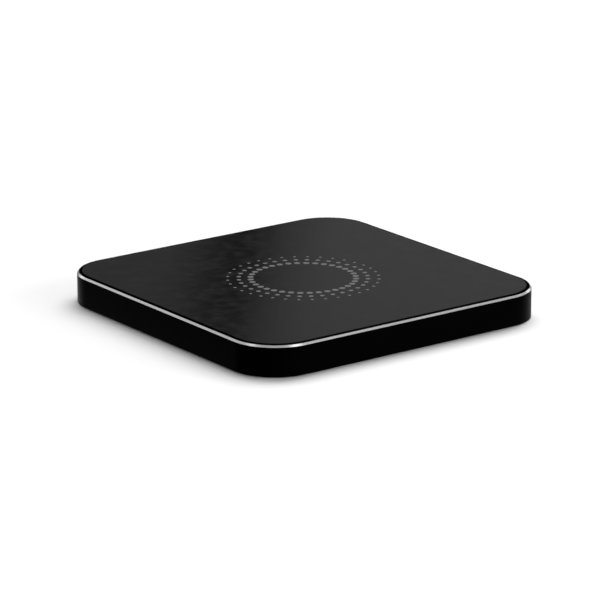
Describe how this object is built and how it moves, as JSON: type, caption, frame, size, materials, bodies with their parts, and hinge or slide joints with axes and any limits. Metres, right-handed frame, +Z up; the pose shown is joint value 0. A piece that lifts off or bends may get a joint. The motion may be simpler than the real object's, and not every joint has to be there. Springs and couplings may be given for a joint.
{
  "type": "wireless charging pad",
  "caption": "Flat square wireless charging pad with round corners: metal frame with a bright chamfer, satin top with printed dot rings, rubber feet and a rear USB-C inlet.",
  "frame": {"origin": "on the surface the pad stands on, under the centre of the pad", "axes": "+Z up through the top panel, +Y towards the rear wall with the inlet, +X to the right as seen from the front"},
  "size_m": [0.1, 0.1, 0.0092],
  "materials": {
    "anodised_frame": "black anodised, satin",
    "machined_edge": "bright machined cut",
    "panel": "satin black, finely grained",
    "printed_ink": "matt grey print",
    "contact_gold": "gold-plated contacts",
    "black_plastic": "finely grained moulding",
    "rubber": "matt",
    "tape": "matt adhesive tape",
    "screw_steel": "turned steel",
    "copper_wire": "enamelled stranded copper",
    "ferrite": "pressed dark grey ferrite",
    "foam": "open-cell foam",
    "circuit_board": "green solder mask",
    "shell_steel": "plated sheet steel",
    "chip_plastic": "moulded chip package",
    "ceramic": "tan ceramic",
    "clear_plastic": "translucent"
  },
  "bodies": {
    "root": {"side_frame": "anodised_frame", "top_panel": "panel", "panel_adhesive": "tape", "base_plate": "black_plastic", "foot_front_left": "rubber", "foot_front_right": "rubber", "foot_rear_left": "rubber", "foot_rear_right": "rubber", "case_screw_front_left": "screw_steel", "case_screw_front_right": "screw_steel", "case_screw_rear_left": "screw_steel", "case_screw_rear_right": "screw_steel", "board_screw_front_left": "screw_steel", "board_screw_front_right": "screw_steel", "board_screw_rear_left": "screw_steel", "board_screw_rear_right": "screw_steel", "circuit_board": "circuit_board", "usb_c_shell": "shell_steel", "usb_c_tongue": "black_plastic", "light_pipe": "clear_plastic", "status_led": "clear_plastic", "transmitter_coil": "copper_wire", "coil_adhesive": "tape", "ferrite_plate": "ferrite", "support_foam": "foam", "controller_chip": "chip_plastic", "bridge_transistor_1": "chip_plastic", "bridge_transistor_2": "chip_plastic", "bridge_transistor_3": "chip_plastic", "bridge_transistor_4": "chip_plastic", "resonant_capacitor_1": "ceramic", "resonant_capacitor_2": "ceramic", "resonant_capacitor_3": "ceramic", "resonant_capacitor_4": "ceramic", "input_capacitor_1": "ceramic", "input_capacitor_2": "ceramic", "power_inductor": "ferrite", "crystal": "shell_steel", "current_sense_resistor": "chip_plastic", "thermistor": "chip_plastic"}
  },
  "joints": []
}
